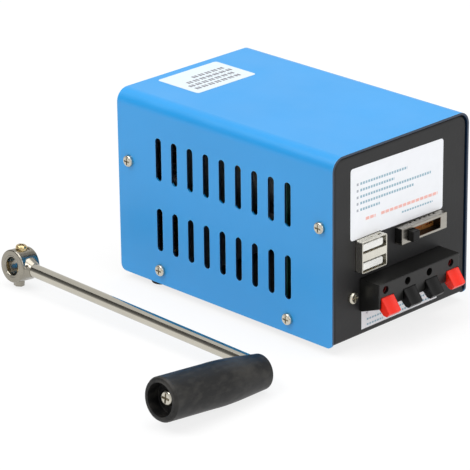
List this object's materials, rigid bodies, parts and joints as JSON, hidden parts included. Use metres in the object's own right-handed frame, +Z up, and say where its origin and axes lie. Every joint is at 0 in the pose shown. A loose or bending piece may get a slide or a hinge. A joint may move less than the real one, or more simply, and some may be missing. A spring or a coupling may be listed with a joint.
{
  "type": "hand crank generator",
  "caption": "Hand crank generator: a slotted blue sheet-metal case with a gear train and motor inside, an output panel at one end and a loose crank with a turning grip.",
  "frame": {"origin": "on the table top, under the middle of the box around case and crank", "axes": "+X along the case towards the output panel, -Y the slotted side next to the lying crank, +Z up"},
  "size_m": [0.1772, 0.1868, 0.0886],
  "materials": {
    "blue_paint": "powder coat",
    "black_paint": "fine texture powder coat",
    "rubber_black": "matte",
    "screw_nickel": "nickel plated",
    "crank_chrome": "polished",
    "plate_steel": "brushed",
    "shaft_steel": "ground",
    "gear_steel": "machined",
    "bush_brass": "turned",
    "motor_steel": "zinc plated",
    "magnet": "ground",
    "rotor_steel": "laminated",
    "cap_plastic": "moulded",
    "tin": "tinned",
    "board_green": "solder mask",
    "heat_sink": "extruded",
    "capacitor_sleeve": "sleeve",
    "ferrite": "coated",
    "chip": "moulded",
    "lead_red": "wire sleeve",
    "lead_black": "wire sleeve",
    "usb_steel": "nickel plated",
    "white_plastic": "moulded",
    "black_plastic": "moulded",
    "board_brown": "laminate",
    "red_plastic": "moulded",
    "ring_red": "moulded",
    "lever_black": "moulded",
    "bolt_zinc": "yellow zinc plated",
    "hub_nickel": "nickel plated",
    "label_white": "film",
    "grip_plastic": "satin"
  },
  "bodies": {
    "case": {"cover": "blue_paint", "chassis": "black_paint", "feet": "rubber_black", "cover_screws": "screw_nickel", "panel_screws": "screw_nickel", "post_screws": "screw_nickel", "gearbox_plate_front": "plate_steel", "gearbox_plate_back": "plate_steel", "gearbox_spacers": "shaft_steel", "input_bushes": "bush_brass", "idler_bushes": "bush_brass", "motor_can": "motor_steel", "motor_magnets": "magnet", "motor_cap": "cap_plastic", "motor_tabs": "tin", "motor_screws": "screw_nickel", "regulator_board": "board_green", "board_brackets": "cap_plastic", "heat_sink": "heat_sink", "capacitors": "capacitor_sleeve", "choke_ring": "ferrite", "chips": "chip", "usb_board": "board_green", "motor_leads": "lead_red", "output_leads_red": "lead_red", "output_leads_black": "lead_black", "usb_shell": "usb_steel", "usb_tongues": "white_plastic", "switch_frame": "usb_steel", "switch_body": "black_plastic", "switch_board": "board_brown", "terminal_body": "black_plastic", "terminal_rings": "ring_red", "panel_label": "label_white", "terminal_label": "label_white", "top_label": "label_white"},
    "hub_bush": {"hub_bush": "hub_nickel"},
    "crank": {"crank_hub": "hub_nickel", "crank_arm": "crank_chrome", "arm_pin": "shaft_steel", "hub_bolt": "bolt_zinc", "hub_nut": "hub_nickel", "grip_screw": "crank_chrome"},
    "grip": {"crank_grip": "grip_plastic"},
    "input": {"input_shaft": "shaft_steel", "shaft_clip": "plate_steel", "input_gear": "gear_steel"},
    "idler_1": {"idler_1_pinion": "gear_steel", "idler_1_gear": "bush_brass"},
    "idler_2": {"idler_2_pinion": "gear_steel", "idler_2_gear": "bush_brass"},
    "rotor": {"motor_pinion": "bush_brass", "motor_rotor": "rotor_steel"},
    "switch_knob": {"switch_knob": "lever_black"},
    "lever_1": {"terminal_lever_1": "red_plastic"},
    "lever_2": {"terminal_lever_2": "lever_black"},
    "lever_3": {"terminal_lever_3": "lever_black"},
    "lever_4": {"terminal_lever_4": "red_plastic"}
  },
  "joints": [
    {"name": "crank_fit", "type": "hinge", "parent": "case", "child": "hub_bush", "pos_m": [-0.04261, -0.00309, 0.04377], "axis": [0.4486, 0.3621, -0.8171], "range_deg": [0, 104.75]},
    {"name": "crank_turn", "type": "hinge", "parent": "hub_bush", "child": "crank", "pos_m": [-0.08113, -0.03156, 0.01001], "axis": [0.002, -0.994, 0.1097], "continuous": true},
    {"name": "grip_spin", "type": "hinge", "parent": "crank", "child": "grip", "pos_m": [0.07321, -0.06138, 0.01042], "axis": [0.002, -0.994, 0.1097], "continuous": true},
    {"name": "input_turn", "type": "hinge", "parent": "case", "child": "input", "pos_m": [-0.03653, 0.04924, 0.0535], "axis": [-1, 0, 0], "continuous": true},
    {"name": "idler_1_turn", "type": "hinge", "parent": "case", "child": "idler_1", "pos_m": [-0.03653, 0.02998, 0.02794], "axis": [-1, 0, 0], "continuous": true},
    {"name": "idler_2_turn", "type": "hinge", "parent": "case", "child": "idler_2", "pos_m": [-0.03653, 0.05385, 0.02543], "axis": [-1, 0, 0], "continuous": true},
    {"name": "rotor_turn", "type": "hinge", "parent": "case", "child": "rotor", "pos_m": [-0.03653, 0.06825, 0.04259], "axis": [-1, 0, 0], "continuous": true},
    {"name": "switch_slide", "type": "slide", "parent": "case", "child": "switch_knob", "axis": [0, 1, 0], "range_m": [0, 0.0162]},
    {"name": "lever_1_press", "type": "hinge", "parent": "case", "child": "lever_1", "pos_m": [0.07907, 0.02889, 0.0219], "axis": [0, 1, 0], "range_deg": [0, 12], "stiffness_Nm_per_rad": 0.25, "springref_deg": -4.58},
    {"name": "lever_2_press", "type": "hinge", "parent": "case", "child": "lever_2", "pos_m": [0.07907, 0.04259, 0.0219], "axis": [0, 1, 0], "range_deg": [0, 12], "stiffness_Nm_per_rad": 0.25, "springref_deg": -4.58},
    {"name": "lever_3_press", "type": "hinge", "parent": "case", "child": "lever_3", "pos_m": [0.07907, 0.05629, 0.0219], "axis": [0, 1, 0], "range_deg": [0, 12], "stiffness_Nm_per_rad": 0.25, "springref_deg": -4.58},
    {"name": "lever_4_press", "type": "hinge", "parent": "case", "child": "lever_4", "pos_m": [0.07907, 0.06999, 0.0219], "axis": [0, 1, 0], "range_deg": [0, 12], "stiffness_Nm_per_rad": 0.25, "springref_deg": -4.58}
  ],
  "couplings": [
    {"joint": "input_turn", "follows": "crank_turn", "ratio": 1},
    {"joint": "idler_1_turn", "follows": "crank_turn", "ratio": -3},
    {"joint": "idler_2_turn", "follows": "crank_turn", "ratio": 9},
    {"joint": "rotor_turn", "follows": "crank_turn", "ratio": -27}
  ]
}
